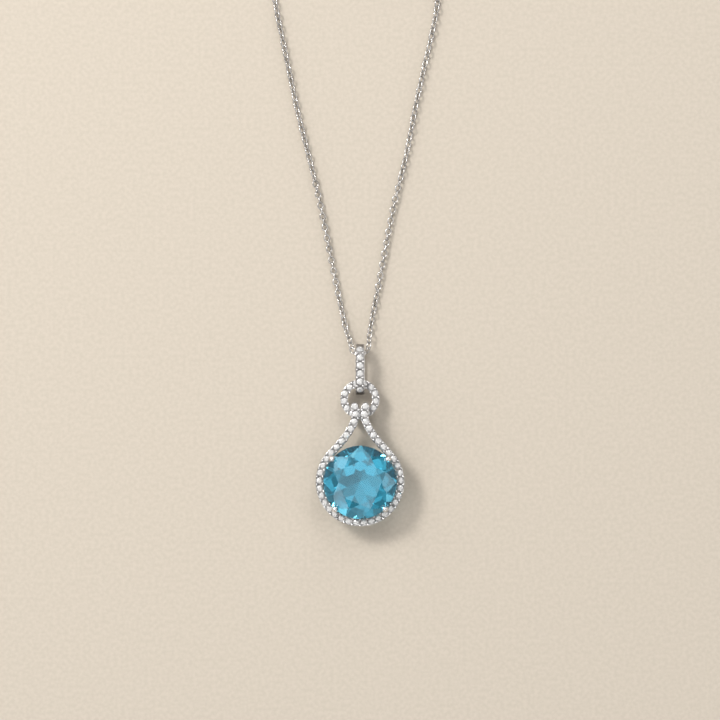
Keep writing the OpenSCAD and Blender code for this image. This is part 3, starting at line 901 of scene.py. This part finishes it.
def pale_floor():
    """A flat square of table, 0.8 m wide, with a fine mottled pale finish."""
    material, tree, shader = new_material("pale_table")
    tone = ramp(tree, noise(tree, GRAIN_SCALE), (0.440, 0.394, 0.336), (0.478, 0.430, 0.370))
    tree.links.new(tone, shader.inputs["Base Color"])
    shader.inputs["Roughness"].default_value = 0.85
    verts = TABLE_HALF * np.array([(-1, -1, 0), (1, -1, 0), (1, 1, 0), (-1, 1, 0)])
    piece = put_mesh("table_top", verts, [np.array([[0, 1, 2, 3]])], material)


pale_floor()
print("table width in mm:", 2 * TABLE_HALF)

# %% [markdown]
# ## Light
# One soft light stands at the upper left, as a window would, and throws soft shadows down to the
# right. A weak one stands beyond the chain. Cut stones and polished metal show only what is
# around them, so the rest of the room is made for them: a small bright patch overhead, a calm
# ceiling, a ring of bright and dark screens, and a dim horizon. The bright patch is narrow,
# because a wide one would show again and again in the blue stone's back facets.

# %% Lights and sky
def soft_light(name, place, width, power, colour):
    """A square area light that faces the middle of the pendant."""
    data = bpy.data.lights.new(name, "AREA")
    data.size, data.energy, data.color = width * MM, power, colour
    lamp = bpy.data.objects.new(name, data)
    bpy.context.scene.collection.objects.link(lamp)
    lamp.location = [v * MM for v in place]
    x, y, z = place
    lamp.rotation_euler = (math.atan2(math.hypot(x, y), z), 0, math.atan2(x, -y))
    print(name, "at", place)


soft_light("window", (-280, 260, 400), 130, 2.1, (1.0, 0.97, 0.92))
soft_light("high_strip", (90, 380, 400), 110, 0.22, (1.0, 0.99, 0.97))

# %% The room that the stones reflect
CAP, CEILING, HORIZON, DIMMEST = 1.45, 0.85, 0.55, 0.04
CEILING_LEAN, RING_LEAN = 0.35, 0.40
RING_LEVEL, RING_FLAGS, FLAG_COUNT, FLAG_EDGE = 1.15, 1.25, 5, 0.35
BRIGHT_SIDE = math.radians(140)
CEILING_FROM, CAP_FROM, HORIZON_FROM = (0.77, 0.85), (0.9955, 0.998), (0.34, 0.22)


def room_sky():
    """The room seen in reflections: a bright patch overhead, a ceiling, a ring of screens and a horizon.

    The ceiling and the ring are constants plus a cosine of the bearing that peaks on the window's side.
    In the ring, a stepped cosine of five times the bearing makes the screens. Steps in height, the sine of
    the elevation, blend the four together."""
    world = bpy.data.worlds.new("room")
    bpy.context.scene.world = world
    world.use_nodes = True
    tree = world.node_tree

    def math_node(operation, *values):
        node = tree.nodes.new("ShaderNodeMath")
        node.operation = operation
        for socket, value in zip(node.inputs, values):
            if isinstance(value, float):
                socket.default_value = value
            else:
                tree.links.new(value, socket)
        return node.outputs[0]

    def blend(fac, low, high):
        return math_node("ADD", low, math_node("MULTIPLY", fac, math_node("SUBTRACT", high, low)))

    def step(value, start, end):
        node = tree.nodes.new("ShaderNodeMapRange")
        node.interpolation_type = "SMOOTHSTEP"
        node.inputs["From Min"].default_value, node.inputs["From Max"].default_value = start, end
        tree.links.new(value, node.inputs["Value"])
        return node.outputs["Result"]

    coords = tree.nodes.new("ShaderNodeTexCoord")
    parts = tree.nodes.new("ShaderNodeSeparateXYZ")
    tree.links.new(coords.outputs["Generated"], parts.inputs["Vector"])
    turn = math_node("ARCTAN2", parts.outputs["Y"], parts.outputs["X"])
    lean = math_node("COSINE", math_node("SUBTRACT", turn, BRIGHT_SIDE))
    waves = math_node("COSINE", math_node("MULTIPLY", turn, float(FLAG_COUNT)))
    screens = step(waves, -FLAG_EDGE, FLAG_EDGE)
    ring = math_node("ADD", RING_LEVEL - RING_FLAGS, math_node("MULTIPLY", lean, RING_LEAN))
    ring = math_node("ADD", ring, math_node("MULTIPLY", screens, 2 * RING_FLAGS))
    ceiling = math_node("ADD", CEILING, math_node("MULTIPLY", lean, CEILING_LEAN))
    height = parts.outputs["Z"]
    level = blend(step(height, *CEILING_FROM), ring, ceiling)
    level = blend(step(height, *CAP_FROM), level, CAP)
    level = blend(step(height, *HORIZON_FROM), level, HORIZON)
    level = math_node("MAXIMUM", level, DIMMEST)
    tree.nodes["Background"].inputs["Color"].default_value = (1.0, 0.985, 0.96, 1)
    tree.links.new(level, tree.nodes["Background"].inputs["Strength"])


room_sky()
bpy.context.scene.view_settings.view_transform = "Standard"
print("sky levels:", CAP, CEILING, RING_LEVEL, HORIZON)
